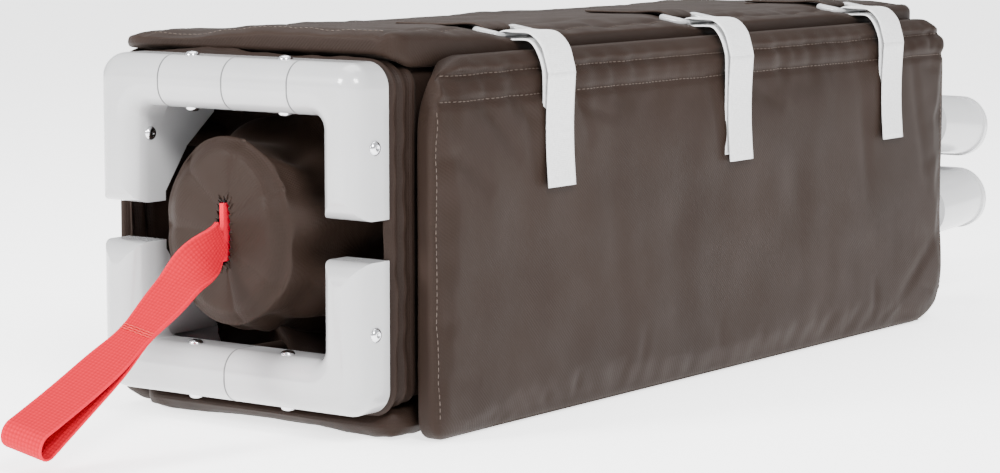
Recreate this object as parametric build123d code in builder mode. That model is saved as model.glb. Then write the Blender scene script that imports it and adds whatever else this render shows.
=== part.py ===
"""Folding travel cot, packed for storage: the frame is folded into a square bundle and
lies on its side inside its own four-panel mattress, held by three hook-and-loop straps.

X runs along the bundle (corner brackets at -X, feet at +X), Y across it, Z up.
The origin is on the floor, in the middle of the mattress length, under the bundle."""

import os

from build123d import *

os.makedirs("parts", exist_ok=True)

# ---- mattress: four stiffened pads wrapped round the bundle -----------------------
pad_length = 670.0
bottom_thickness = 18.0
near_thickness = 21.5
far_thickness = 19.5
top_thickness = 13.5
lap_height = 1.5  # near pad rises this far past the bundle, beside the top pad
pad_corner = 20.0
near_corner = 35.0
pad_edge = 6.0
board_thickness = 3.0
board_margin = 24.0
board_clearance = 0.25
wrap_gap = 0.5  # between the folded frame and the pads round it

# ---- folded frame -----------------------------------------------------------------
bundle = 215.0  # outside of the square made by the four corner brackets
bundle_length = 820.0  # from bracket noses to the ends of the feet
nose_overhang = 35.0  # bracket noses stand this far out of the mattress

arm_thickness = 33.0
arm_length = 95.0
bracket_wall = 3.2
flange_depth = 30.0  # outer flange, back from the nose
cheek_depth = 77.0  # inner cheek, back from the nose
arm_seam = 52.5  # bracket's own share of a horizontal arm
sleeve_gap = 0.5  # half the gap where two sleeves meet
nose_radius = 14.5
corner_radius = 16.0
inner_corner_radius = 8.0
cheek_lap = 4.0  # cheek and flange overlap by this much
cheek_slope = 26.0  # cheek narrows over this length, down to its foot
cheek_drop = 8.0
cheek_foot = 34.0
cheek_tip = 6.0

leg_radius = 10.0
leg_fit = 3.0  # leg to bracket cheek, which leaves room for the legs to lean
leg_start = 4.4  # legs stop short of the rounded inside of the nose
leg_wall = 1.4
foot_length = 70.0
foot_height = 46.0
foot_width = 40.0
foot_rim = 1.5
foot_rim_length = 5.0
foot_rise_upper = 15.0  # height of the upper feet above the bundle's centre
foot_drop_lower = 43.5  # depth of the lower feet below it
foot_inset = 22.5  # from the bundle's side to a foot's centre
socket_fit = 0.1

rail_radius = 8.0
rail_depth = 17.5  # from the bundle's side to a rail's axis
rail_spread_side = 56.5  # rail pivots on the near and far sides, from the centre
rail_spread_flat = 38.0  # rail pivots on the upper and lower sides
rail_spread_latch = 17.0
rail_pivot_back = 17.0  # rail pivots, back from the nose
rail_wall = 1.4
rail_end = 8.0  # a rail runs on past its rivet
long_rail = 445.0
short_rail = 265.0
latch_length = 70.0
latch_width = 58.0
latch_thickness = 21.0
latch_corner = 6.0
button_size = (16.0, 16.0, 12.0)
button_corner = 2.0
button_edge = 1.5
button_fit = 0.3
button_travel = 4.0
pin_radius = 2.5
pin_fit = 0.05
rivet_head_radius = 4.5
rivet_head_height = 2.0
rivet_head_taper = 35.0

# ---- floor hub, its tubes and its pull strap --------------------------------------
hub_radius = 40.0
hub_thickness = 38.0
hub_edge = 6.0
hub_set_back = 4.7  # hub front, back from the bracket noses
slot_height = 40.0
slot_width = 4.4
cover_set_back = 1.5
cover_edge = 5.0
cover_wall = 2.4
cover_front = (46.0, 57.0)  # half width and half height
cover_back = (58.0, 66.0)
cover_depth = 76.0
tube_radius = 7.0
tube_wall = 1.2
tube_set_back = 28.0
tube_grip = 16.0
lug_length = 26.0
lug_wall = 3.0
tube_spread_hub = 20.0
tube_inset = 16.0  # tube ends, in from the foot centres
web_width = 30.0
web_thickness = 1.6
pull_length = 204.0
pull_angle = 31.35  # below the horizontal
pull_bar = 88.0  # length up to the sewn bar, where the loop starts
loop_half_gap = 9.5
loop_end = 24.0  # length of the loop's full width
loop_bends = (90.0, 100.0)
twist_length = 42.0  # webbing turns from upright to level over this length
twist_steps = 6
layer_gap = 0.1
swing_gap = 0.9
root_margin = 2.0

# ---- hook-and-loop straps, rings and tabs -----------------------------------------
strap_centres = (-197.0, 20.5, 238.0)
strap_names = ("left", "middle", "right")
strap_width = 30.0
strap_thickness = 1.2
strap_standoff = 0.3
strap_bend = 20.0
layer_pitch = 4.0  # between the middles of the strap's two layers
strap_reach = 82.0  # sewn layer, down from the near pad's top edge
tail_reach = 87.0
tail_hinge_drop = 14.0
ring_rod = 1.2
ring_width = 46.0
ring_arm = 6.0
ring_pitch = 18.0  # between the middles of the ring's two rods
ring_inset = 23.5  # near rod, in from the top pad's near edge
tab_length = 54.0
tab_thickness = 3.0
tab_shell = 1.4
rod_fit = 0.2

# ---- cot side fabric ------------------------------------------------------------
fabric_layers = 6.0
fabric_gap = 0.3
fabric_corner = 12.0
fabric_end_gap = 4.0

# ---- worked out -------------------------------------------------------------------
half = bundle / 2
pad_left = -pad_length / 2
nose_x = pad_left - nose_overhang
feet_x = nose_x + bundle_length
centre_z = bottom_thickness + half
bundle_top = bottom_thickness + bundle
near_inner = -(half + wrap_gap)
near_outer = near_inner - near_thickness
far_inner = half + wrap_gap
far_outer = far_inner + far_thickness
top_low = bundle_top + wrap_gap
top_high = top_low + top_thickness
arm_inner = half - arm_thickness
channel_inner = arm_inner + bracket_wall
flange_x = nose_x + flange_depth
cheek_x = nose_x + cheek_depth
front_inside = nose_x + bracket_wall
leg_axis = channel_inner + leg_fit + leg_radius
pivot_x = nose_x + rail_pivot_back
rail_axis = half - rail_depth
middle = Plane.XY.offset(centre_z)
near_height = bundle_top + lap_height
top_near = near_inner + wrap_gap
ring_near_y = top_near + ring_inset
strap_low = near_height - strap_reach
tail_low = near_height - tail_reach
tail_top = near_height - tail_hinge_drop


def save(piece, name):
    """Labels a finished piece and writes it."""
    piece.label = name
    export_step(piece, f"parts/{name}.step")


def rod(start, end, radius):
    """A straight round bar between two points."""
    run = Vector(*end) - Vector(*start)
    with BuildPart() as bar:
        with BuildSketch(Plane(origin=start, z_dir=run.normalized())):
            Circle(radius)
        extrude(amount=run.length)
    return bar.part


def tube(start, end, radius, wall):
    """A straight round tube between two points."""
    run = Vector(*end) - Vector(*start)
    with BuildPart() as pipe:
        with BuildSketch(Plane(origin=start, z_dir=run.normalized())):
            Circle(radius)
            Circle(radius - wall, mode=Mode.SUBTRACT)
        extrude(amount=run.length)
    return pipe.part


# ---- pads -------------------------------------------------------------------------
def pad_and_board(name, plane, width, height, thickness, corner=pad_corner):
    """A quilted pad, lying on plane and as thick as said along its normal, with the
    stiffening board that is sewn up in it."""
    with BuildPart() as pad:
        with BuildSketch(plane):
            RectangleRounded(width, height, corner)
        extrude(amount=thickness)
        fillet(pad.faces().sort_by(Axis(plane.origin, plane.z_dir))[0].edges(), pad_edge)
        fillet(pad.faces().sort_by(Axis(plane.origin, plane.z_dir))[-1].edges(), pad_edge)
        pocket = board_thickness + 2 * board_clearance
        with BuildSketch(plane.offset((thickness - pocket) / 2)):
            Rectangle(width - 2 * board_margin, height - 2 * board_margin)
        extrude(amount=pocket, mode=Mode.SUBTRACT)
    save(pad.part, f"{name}_pad")

    inset = 2 * (board_margin + board_clearance)
    with BuildPart() as board:
        with BuildSketch(plane.offset((thickness - board_thickness) / 2)):
            Rectangle(width - inset, height - inset)
        extrude(amount=board_thickness)
    save(board.part, f"{name}_board")


far_height = bundle_top
near_plane = Plane(origin=(0, near_outer, near_height / 2), x_dir=(1, 0, 0), z_dir=(0, 1, 0))
far_plane = Plane(origin=(0, far_inner, far_height / 2), x_dir=(1, 0, 0), z_dir=(0, 1, 0))
top_width = far_outer - top_near
top_middle = (far_outer + top_near) / 2

pad_and_board("near", near_plane, pad_length, near_height, near_thickness, near_corner)
pad_and_board("far", far_plane, pad_length, far_height, far_thickness)
pad_and_board("bottom", Plane.XY, pad_length, bundle, bottom_thickness)
pad_and_board(
    "top", Plane(origin=(0, top_middle, top_low)), pad_length, top_width, top_thickness
)

# ---- straps, tails, rings and tabs ------------------------------------------------
inner_layer = near_outer - strap_standoff - strap_thickness / 2
outer_layer = inner_layer - layer_pitch
ring_z = top_high + strap_standoff + ring_rod + rod_fit + tab_shell
bend_y = inner_layer + strap_bend
under_z = ring_z - layer_pitch / 2
over_z = ring_z + layer_pitch / 2
bend_z = under_z - strap_bend

with BuildPart() as strap_bases:
    # sewn layer up the near pad, over its top edge, round the ring's rod and back
    for x in strap_centres:
        with BuildSketch(Plane.YZ.offset(x - strap_width / 2)):
            with BuildLine():
                Line((inner_layer, strap_low), (inner_layer, bend_z))
                CenterArc((bend_y, bend_z), strap_bend, 180, -90)
                Line((bend_y, under_z), (ring_near_y, under_z))
                CenterArc((ring_near_y, ring_z), layer_pitch / 2, -90, 180)
                Line((ring_near_y, over_z), (bend_y, over_z))
                CenterArc((bend_y, bend_z), strap_bend + layer_pitch, 90, 90)
                Line((outer_layer, bend_z), (outer_layer, tail_top))
            trace(line_width=strap_thickness)
        extrude(amount=strap_width)
save(strap_bases.part, "strap_bases")

ring_far_y = ring_near_y + ring_pitch
for name, x in zip(strap_names, strap_centres):
    # hook-and-loop end of the strap, laid back down over its own base
    with BuildPart() as tail:
        with BuildSketch(Plane.XY.offset(tail_low)):
            with Locations((x, outer_layer)):
                Rectangle(strap_width, strap_thickness)
        extrude(amount=tail_top - wrap_gap - tail_low)
    save(tail.part, f"strap_tail_{name}")

    # rectangular plastic ring: two round rods joined by flat arms
    arm_x = (ring_width - ring_arm) / 2
    with BuildPart() as ring:
        for y in (ring_near_y, ring_far_y):
            with BuildSketch(Plane(origin=(x - arm_x, y, ring_z), z_dir=(1, 0, 0))):
                Circle(ring_rod)
            extrude(amount=2 * arm_x)
        for side in (-1, 1):
            with BuildSketch(Plane.XY.offset(ring_z - ring_rod)):
                with Locations((x + side * arm_x, (ring_near_y + ring_far_y) / 2)):
                    SlotOverall(ring_pitch + ring_arm, ring_arm, rotation=90)
            extrude(amount=2 * ring_rod)
    save(ring.part, f"strap_ring_{name}")

with BuildPart() as ring_tabs:
    # webbing tab folded round the ring's far rod and sewn down on the top pad
    tab_top = top_high + tab_thickness
    shell = ring_rod + rod_fit + tab_shell
    for x in strap_centres:
        with BuildSketch(Plane.YZ.offset(x - strap_width / 2)):
            with BuildLine():
                Polyline(
                    (ring_far_y + tab_length, top_high),
                    (ring_far_y + tab_length / 2, top_high),
                    (ring_far_y, ring_z - shell),
                    (ring_far_y, ring_z + shell),
                    (ring_far_y + tab_length / 2, tab_top),
                    (ring_far_y + tab_length, tab_top),
                    close=True,
                )
            make_face()
            with Locations((ring_far_y, ring_z)):
                Circle(shell)
                Circle(ring_rod + rod_fit, mode=Mode.SUBTRACT)
        extrude(amount=strap_width)
save(ring_tabs.part, "ring_tabs")


# ---- corner brackets --------------------------------------------------------------
def arm_block(grow, back):
    """One L-shaped arm pair in the +Y +Z corner, drawn in by grow on every side, with
    its two flanges reaching back to the X given. The open cavity is the same block."""
    low = arm_inner + grow
    high = half - grow
    front = nose_x + grow
    tip = half - arm_length + grow
    seam = arm_seam if grow == 0 else arm_seam - bracket_wall
    with BuildPart() as block:
        with BuildSketch(Plane.YZ.offset(front)):
            with BuildLine():
                Polyline(
                    (seam, centre_z + low),
                    (low, centre_z + low),
                    (low, centre_z + tip),
                    (high, centre_z + tip),
                    (high, centre_z + high),
                    (seam, centre_z + high),
                    close=True,
                )
            make_face()
        extrude(amount=back - front)
        along = block.edges().filter_by(Axis.X)
        outer = along.filter_by_position(Axis.Y, high - 1, high + 1)
        fillet(outer.sort_by(Axis.Z)[-1], corner_radius - grow)
        inner = block.edges().filter_by(Axis.X).filter_by_position(Axis.Y, low - 1, low + 1)
        fillet(inner.sort_by(Axis.Z)[-1], inner_corner_radius + grow)
        rim = block.faces().sort_by(Axis.X)[0].edges()
        rim = rim.filter_by(lambda edge: edge.center().Y > seam + 1)
        fillet(rim, nose_radius - grow)
    return block.part


def rail_hole(spread_point, outward):
    """The drilled hole for one rail rivet, right through the bundle's side."""
    start = Vector(*spread_point) - Vector(*outward) * arm_thickness
    end = Vector(*spread_point) + Vector(*outward) * arm_thickness
    return rod(start, end, pin_radius + pin_fit)


side_rivet = (pivot_x, rail_axis, centre_z + rail_spread_side)

with BuildPart() as bracket:
    add(arm_block(0, flange_x))
    # the inner cheek runs further back than the flanges and tapers to the arm's tip
    tip_z = half - arm_length
    with BuildSketch(Plane.XZ.offset(-arm_inner)):
        with BuildLine():
            Polyline(
                (flange_x - cheek_lap, centre_z + arm_inner),
                (cheek_x, centre_z + arm_inner),
                (cheek_x, centre_z + arm_inner - cheek_drop),
                (cheek_x - cheek_slope, centre_z + tip_z + cheek_foot),
                (flange_x, centre_z + tip_z + cheek_tip),
                (flange_x - cheek_lap, centre_z + tip_z + cheek_tip),
                close=True,
            )
        make_face()
    extrude(amount=-bracket_wall)
    add(arm_block(bracket_wall, flange_x + 1), mode=Mode.SUBTRACT)
    add(rail_hole(side_rivet, (0, 1, 0)), mode=Mode.SUBTRACT)

corners = {
    "upper_far": (False, False),
    "upper_near": (True, False),
    "lower_far": (False, True),
    "lower_near": (True, True),
}


def placed(shape, to_near, to_lower):
    """The +Y +Z piece, mirrored into its own corner of the bundle."""
    if to_near:
        shape = mirror(shape, about=Plane.XZ, mode=Mode.PRIVATE)
    if to_lower:
        shape = mirror(shape, about=middle, mode=Mode.PRIVATE)
    return shape


for name, flips in corners.items():
    with BuildPart() as corner_piece:
        add(placed(bracket.part, *flips))
    save(corner_piece.part, f"bracket_{name}")

# ---- sleeves on the horizontal arms -----------------------------------------------
flat_rivet = (pivot_x, rail_spread_flat, centre_z + rail_axis)


def sleeve_block(grow):
    """The rounded end of a horizontal arm, drawn in by grow on its three closed sides."""
    with BuildPart() as block:
        with BuildSketch(Plane.XZ.offset(-sleeve_gap)):
            with Locations(((nose_x + flange_x) / 2 + grow, centre_z + half - arm_thickness / 2)):
                Rectangle(flange_depth, arm_thickness - 2 * grow)
        extrude(amount=-(arm_seam - sleeve_gap))
        front = block.faces().sort_by(Axis.X)[0].edges().filter_by(Axis.Y)
        fillet(front, nose_radius - grow)
    return block.part


with BuildPart() as sleeve:
    add(sleeve_block(0))
    add(sleeve_block(bracket_wall), mode=Mode.SUBTRACT)
    add(rail_hole(flat_rivet, (0, 0, 1)), mode=Mode.SUBTRACT)

for level, to_lower in (("upper", False), ("lower", True)):
    with BuildPart() as pair:
        add(placed(sleeve.part, False, to_lower))
        add(placed(sleeve.part, True, to_lower))
    save(pair.part, f"{level}_arm_sleeves")


# ---- rails, folded at their latches -----------------------------------------------
def on_side(side, x, along, out):
    """A point by the bundle's side: distance along that side and out from the middle."""
    if side in ("near", "far"):
        return (x, out if side == "far" else -out, centre_z + along)
    return (x, along, centre_z + (out if side == "upper" else -out))


rails = {
    "near": (rail_spread_side, long_rail),
    "far": (rail_spread_side, long_rail),
    "upper": (rail_spread_flat, short_rail),
    "lower": (rail_spread_flat, short_rail),
}
rivets = []
latch_pins = []

for side, (spread, length) in rails.items():
    latch_x = pivot_x + length
    halves = {}
    for half_name, sign in (("a", 1), ("b", -1)):
        slope = (spread - rail_spread_latch) / length
        start = on_side(side, pivot_x - rail_end, sign * (spread + slope * rail_end), rail_axis)
        end = on_side(side, latch_x, sign * rail_spread_latch, rail_axis)
        pivot = on_side(side, pivot_x, sign * spread, rail_axis)
        pin_x = latch_x - latch_length / 4
        pin = on_side(side, pin_x, sign * (rail_spread_latch + slope * latch_length / 4), rail_axis)
        outward = Vector(*on_side(side, 0, 0, 1)) - Vector(*on_side(side, 0, 0, 0))
        with BuildPart() as half_rail:
            add(tube(start, end, rail_radius, rail_wall))
            for point in (pivot, pin):
                step = outward * (rail_radius + 1)
                add(
                    rod(Vector(*point) - step, Vector(*point) + step, pin_radius + pin_fit),
                    mode=Mode.SUBTRACT,
                )
        save(half_rail.part, f"rail_{side}_{half_name}")
        halves[half_name] = (start, end)

        inside = Vector(*pivot) - outward * (rail_axis - arm_inner)
        outside = Vector(*pivot) + outward * (half - rail_axis)
        rivets.append((inside, outside, outward))
        reach = outward * (latch_thickness / 2)
        latch_pins.append((Vector(*pin) - reach, Vector(*pin) + reach))

    # latch housing over both rail ends, with a pocket for its button in the far end
    with BuildPart() as housing:
        face = on_side(side, latch_x - latch_length / 2, 0, rail_axis)
        turn = (0, 0, 1) if side in ("near", "far") else (0, 1, 0)
        with BuildSketch(Plane(origin=face, x_dir=turn, z_dir=(1, 0, 0))):
            RectangleRounded(latch_width, latch_thickness, latch_corner)
        extrude(amount=latch_length)
        for start, end in halves.values():
            add(rod(start, end, rail_radius + socket_fit), mode=Mode.SUBTRACT)
        for start, end in latch_pins[-2:]:
            step = (end - start).normalized()
            add(rod(start - step, end + step, pin_radius + pin_fit), mode=Mode.SUBTRACT)
        mouth = on_side(side, latch_x + latch_length / 2, 0, rail_axis)
        with BuildSketch(Plane(origin=mouth, x_dir=turn, z_dir=(1, 0, 0))):
            play = 2 * button_fit
            RectangleRounded(button_size[1] + play, button_size[2] + play, button_corner)
        extrude(amount=-button_size[0], mode=Mode.SUBTRACT)
    save(housing.part, f"latch_housing_{side}")

    with BuildPart() as button:
        seat = on_side(
            side, latch_x + latch_length / 2 - button_size[0] + button_travel + button_fit, 0, rail_axis
        )
        with BuildSketch(Plane(origin=seat, x_dir=turn, z_dir=(1, 0, 0))):
            RectangleRounded(button_size[1], button_size[2], button_corner)
        extrude(amount=button_size[0])
        fillet(button.faces().sort_by(Axis.X)[-1].edges(), button_edge)
    save(button.part, f"latch_button_{side}")

with BuildPart() as bracket_rivets:
    for inside, outside, outward in rivets:
        add(rod(inside, outside, pin_radius))
        for face, way in ((inside, outward * -1), (outside, outward)):
            with BuildSketch(Plane(origin=face, z_dir=way)):
                Circle(rivet_head_radius)
            extrude(amount=rivet_head_height, taper=rivet_head_taper)
save(bracket_rivets.part, "bracket_rivets")

with BuildPart() as pins:
    for start, end in latch_pins:
        add(rod(start, end, pin_radius))
save(pins.part, "latch_pins")

# ---- legs, feet, floor tubes and hub ----------------------------------------------
tube_start = nose_x + tube_set_back
hub_front = nose_x + hub_set_back
hub_tubes = []

for name, (to_near, to_lower) in corners.items():
    y_sign = -1 if to_near else 1
    z_sign = -1 if to_lower else 1
    foot_y = y_sign * (half - foot_inset)
    foot_z = centre_z + (-foot_drop_lower if to_lower else foot_rise_upper)
    top = (front_inside + leg_start, y_sign * leg_axis, centre_z + z_sign * leg_axis)
    tip = (feet_x, foot_y, foot_z)
    axis = (Vector(*tip) - Vector(*top)).normalized()
    leg_end = Vector(*tip) - axis * (foot_length * 0.3)
    tube_end_x = feet_x - foot_length + lug_length / 2
    tube_end = (tube_end_x, foot_y - y_sign * (foot_width / 2 + tube_inset / 2), foot_z)
    tube_root = (tube_start, y_sign * tube_spread_hub, centre_z + z_sign * tube_spread_hub)
    hub_tubes.append((tube_root, tube_end))

    with BuildPart() as leg:
        add(tube(top, leg_end, leg_radius, leg_wall))
    save(leg.part, f"leg_{name}")

    with BuildPart() as floor_tube:
        add(tube(tube_root, tube_end, tube_radius, tube_wall))
    save(floor_tube.part, f"floor_tube_{name}")

    # moulded foot: D-shaped, flat towards the middle, with a rim and a tube lug
    with BuildPart() as foot:
        foot_back = Vector(*tip) - axis * foot_length
        section = Plane(origin=foot_back, x_dir=(0, y_sign, 0), z_dir=axis)
        for depth, lip in ((0, 0), (foot_length - foot_rim_length, foot_rim)):
            with BuildSketch(section.offset(depth)):
                round_part = foot_height / 2 + lip
                with Locations((foot_width / 2 - foot_height / 2, 0)):
                    Circle(round_part)
                with Locations((-foot_height / 4, 0)):
                    Rectangle(foot_width - foot_height / 2 + lip, foot_height + 2 * lip)
            extrude(amount=foot_rim_length if lip else foot_length)
        lug_plane = Plane(origin=(tube_end_x - lug_length / 2, tube_end[1], foot_z), z_dir=(1, 0, 0))
        with BuildSketch(lug_plane):
            Rectangle(tube_inset + 2 * lug_wall, 2 * tube_radius + 2 * lug_wall)
        extrude(amount=lug_length)
        add(rod(top, leg_end, leg_radius + socket_fit), mode=Mode.SUBTRACT)
        add(rod(tube_root, tube_end, tube_radius + socket_fit), mode=Mode.SUBTRACT)
    save(foot.part, f"foot_{name}")

with BuildPart() as hub:
    with BuildSketch(Plane.YZ.offset(hub_front)):
        with Locations((0, centre_z)):
            Circle(hub_radius)
    extrude(amount=hub_thickness)
    fillet(hub.faces().sort_by(Axis.X)[0].edges(), hub_edge)
    for root, end in hub_tubes:
        reach = (Vector(*end) - Vector(*root)).normalized() * hub_thickness
        add(rod(root, Vector(*root) + reach, tube_radius + socket_fit), mode=Mode.SUBTRACT)
    with BuildSketch(Plane.YZ.offset(hub_front)):
        with Locations((0, centre_z)):
            Rectangle(slot_width, slot_height)
    extrude(amount=tube_grip, mode=Mode.SUBTRACT)
save(hub.part, "floor_hub")


def cover_form(wall):
    """The hub cover's oval cone, drawn in by its wall."""
    front = nose_x + cover_set_back + wall
    with BuildPart() as form:
        with BuildSketch(Plane.YZ.offset(front)):
            with Locations((0, centre_z)):
                Ellipse(cover_front[0] - wall, cover_front[1] - wall)
        with BuildSketch(Plane.YZ.offset(nose_x + cover_depth + wall)):
            with Locations((0, centre_z)):
                Ellipse(cover_back[0] - wall, cover_back[1] - wall)
        loft()
    return form.part


with BuildPart() as hub_cover:
    add(cover_form(0))
    fillet(hub_cover.faces().sort_by(Axis.X)[0].edges(), cover_edge)
    add(cover_form(cover_wall), mode=Mode.SUBTRACT)
    with BuildSketch(Plane.YZ.offset(nose_x)):
        with Locations((0, centre_z)):
            Rectangle(slot_width, slot_height)
    extrude(amount=cover_depth / 2, mode=Mode.SUBTRACT)
save(hub_cover.part, "hub_cover")

# ---- pull strap -------------------------------------------------------------------
swing_x = nose_x - 1.0
layer = (web_thickness + layer_gap) / 2
doubled = 2 * web_thickness + layer_gap

with BuildPart() as anchor:
    # sewn root of the webbing, held in the hub's slot
    with BuildSketch(Plane.YZ.offset(swing_x + swing_gap / 2)):
        with Locations((0, centre_z)):
            Rectangle(doubled, slot_height - 2 * root_margin)
    extrude(amount=hub_front + tube_grip - 1 - swing_x)
save(anchor.part, "pull_strap_root")

root_point = Vector(swing_x - swing_gap / 2, 0, centre_z - root_margin)
along = Vector(-1, 0, 0).rotate(Axis.Y, -pull_angle)
across = Vector(0, 1, 0)
upright = across.cross(along)

with BuildPart() as pull_strap:
    # the two layers leave the slot upright and twist level on the way to the sewn bar
    for step in range(twist_steps + 1):
        share = step / twist_steps
        twist_point = root_point + along * (twist_length * share)
        width_way = upright.rotate(Axis((0, 0, 0), along), 90 * share)
        with BuildSketch(Plane(origin=twist_point, x_dir=width_way, z_dir=along)):
            Rectangle(web_width, doubled)
    loft()
    with BuildSketch(Plane(origin=root_point, x_dir=upright, z_dir=along)):
        Rectangle(web_width, doubled)
    extrude(amount=-web_width)
    # past the bar they part into the hand loop
    wide = loop_half_gap
    opening = pull_length - loop_end
    loop_plane = Plane(origin=root_point, x_dir=along, z_dir=across)
    with BuildSketch(loop_plane.offset(-web_width / 2)):
        with BuildLine():
            FilletPolyline(
                (twist_length, layer),
                (pull_bar, layer),
                (opening, wide),
                (pull_length, wide),
                (pull_length, -wide),
                (opening, -wide),
                (pull_bar, -layer),
                (twist_length, -layer),
                radius=[*loop_bends, wide - layer_gap, wide - layer_gap, *loop_bends[::-1]],
            )
        trace(line_width=web_thickness)
    extrude(amount=web_width)
    split(bisect_by=Plane(origin=root_point, z_dir=(-1, 0, 0)))
save(pull_strap.part, "pull_strap")

# ---- cot side fabric, folded flat round the tubes ---------------------------------
fabric_start = flange_x + fabric_gap
fabric_length = pad_length + nose_overhang - flange_depth - fabric_end_gap

with BuildPart() as side_fabric:
    with BuildSketch(Plane.YZ.offset(fabric_start)):
        with Locations((0, centre_z)):
            outside = bundle - 2 * fabric_gap
            RectangleRounded(outside, outside, fabric_corner)
            inside = outside - 2 * fabric_layers
            RectangleRounded(inside, inside, fabric_corner - fabric_layers, mode=Mode.SUBTRACT)
    extrude(amount=fabric_length)
save(side_fabric.part, "side_fabric")
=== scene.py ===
"""A folding travel cot, packed away: its steel frame lies folded inside its own padded
mattress, with the corner brackets, the hub cover and the pull strap showing at one end."""

import math
import random

import bpy
import numpy as np
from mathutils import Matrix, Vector, noise
from mathutils.bvhtree import BVHTree


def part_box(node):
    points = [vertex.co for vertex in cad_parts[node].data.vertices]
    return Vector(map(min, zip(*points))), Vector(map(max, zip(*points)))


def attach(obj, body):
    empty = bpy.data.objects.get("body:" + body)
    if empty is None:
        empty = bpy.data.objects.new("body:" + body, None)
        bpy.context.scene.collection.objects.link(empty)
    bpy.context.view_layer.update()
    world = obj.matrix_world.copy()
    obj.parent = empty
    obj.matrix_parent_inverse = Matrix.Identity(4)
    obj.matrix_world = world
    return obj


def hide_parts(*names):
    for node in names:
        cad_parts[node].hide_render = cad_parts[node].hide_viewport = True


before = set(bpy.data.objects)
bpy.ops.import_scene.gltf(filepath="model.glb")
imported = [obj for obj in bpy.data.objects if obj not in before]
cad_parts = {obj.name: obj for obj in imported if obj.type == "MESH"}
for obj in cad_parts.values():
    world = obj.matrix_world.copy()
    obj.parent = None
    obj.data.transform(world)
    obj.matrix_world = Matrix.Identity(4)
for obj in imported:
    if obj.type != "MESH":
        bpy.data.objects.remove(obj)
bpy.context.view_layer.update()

# ==== Studio ==========================================================================
# A pale seamless floor, one large soft light over the bracket end, a weaker one on the
# long side and one overhead. The camera stands low off the corner of the bundle.
studio = bpy.context.scene
world = bpy.data.worlds.new("studio_air")
studio.world = world
world.use_nodes = True
world.node_tree.nodes["Background"].inputs["Color"].default_value = (0.97, 0.98, 1.0, 1)
world.node_tree.nodes["Background"].inputs["Strength"].default_value = 0.95


def node(tree, kind, **settings):
    """A shader node, with its own settings."""
    made = tree.nodes.new(kind)
    for key, value in settings.items():
        setattr(made, key, value)
    return made


def surface(name, colour, roughness):
    """A new material and its shader, with a plain colour and roughness to start from."""
    material = bpy.data.materials.new(name)
    material.use_nodes = True
    shader = material.node_tree.nodes["Principled BSDF"]
    shader.inputs["Base Color"].default_value = (*colour, 1)
    shader.inputs["Roughness"].default_value = roughness
    return material, material.node_tree, shader


def mesh_piece(name, points, faces, material, smooth=True):
    """A mesh object from points and faces, in one material."""
    data = bpy.data.meshes.new(name)
    data.from_pydata([tuple(p) for p in points], [], faces)
    data.validate()
    data.materials.append(material)
    data.polygons.foreach_set("use_smooth", [smooth] * len(data.polygons))
    data.update()
    piece = bpy.data.objects.new(name, data)
    studio.collection.objects.link(piece)
    return piece


floor_paint, _, floor_shader = surface("studio_floor", (0.93, 0.93, 0.93), 0.6)
floor_shader.inputs["Emission Color"].default_value = (1, 1, 1, 1)
floor_shader.inputs["Emission Strength"].default_value = 2.2
floor_size = 14.0
floor = mesh_piece(
    "studio_floor",
    [(x * floor_size, y * floor_size, -0.0006) for x, y in ((-1, -1), (1, -1), (1, 1), (-1, 1))],
    [(0, 1, 2, 3)],
    floor_paint,
)


def soft_light(name, place, target, size, watts):
    """A square area light that looks at a point."""
    lamp = bpy.data.lights.new(name, "AREA")
    lamp.size = size
    lamp.energy = watts
    holder = bpy.data.objects.new(name, lamp)
    holder.location = place
    aim = Vector(target) - Vector(place)
    holder.rotation_mode = "QUATERNION"
    holder.rotation_quaternion = aim.to_track_quat("-Z", "Y")
    studio.collection.objects.link(holder)


soft_light("key_light", (-2.2, 0.9, 1.2), (-0.35, 0, 0.14), 0.6, 95)
soft_light("side_light", (-1.5, -1.7, 1.7), (0.05, -0.1, 0.12), 0.7, 105)
soft_light("top_light", (0.1, 0.3, 2.3), (0, 0, 0), 1.8, 60)

view_turn = math.radians(-53.8)
view_rise = math.radians(6.9)
lens = bpy.data.cameras.new("corner_camera")
lens.lens = 105.9
lens.sensor_width = 36
camera = bpy.data.objects.new("corner_camera", lens)
camera.location = (-1.723, -1.2025, 0.341)
look_back = Vector(
    (
        math.sin(view_turn) * math.cos(view_rise),
        -math.cos(view_turn) * math.cos(view_rise),
        math.sin(view_rise),
    )
)
camera.rotation_mode = "QUATERNION"
camera.rotation_quaternion = (-look_back).to_track_quat("-Z", "Y")
studio.collection.objects.link(camera)
studio.camera = camera

# ==== Legs, rails and floor tubes =====================================================
# Steel tube, powder coated pale grey. They keep the design's own shapes, and most of
# their length is shut inside the wrap.


def object_place(tree):
    """The Object output of a texture coordinate node, which doesn't depend on UVs."""
    return node(tree, "ShaderNodeTexCoord").outputs["Object"]


def grain(tree, scale, detail=3.0):
    """Fine noise at a given scale, in the piece's own space."""
    made = node(tree, "ShaderNodeTexNoise")
    made.inputs["Scale"].default_value = scale
    made.inputs["Detail"].default_value = detail
    tree.links.new(object_place(tree), made.inputs["Vector"])
    return made.outputs["Fac"]


def bump(tree, shader, height, strength, distance):
    """Adds a relief to a shader, over any relief that it already has."""
    made = node(tree, "ShaderNodeBump")
    made.inputs["Strength"].default_value = strength
    made.inputs["Distance"].default_value = distance
    tree.links.new(height, made.inputs["Height"])
    before = shader.inputs["Normal"].links
    if before:
        tree.links.new(before[0].from_socket, made.inputs["Normal"])
    tree.links.new(made.outputs["Normal"], shader.inputs["Normal"])


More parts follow.
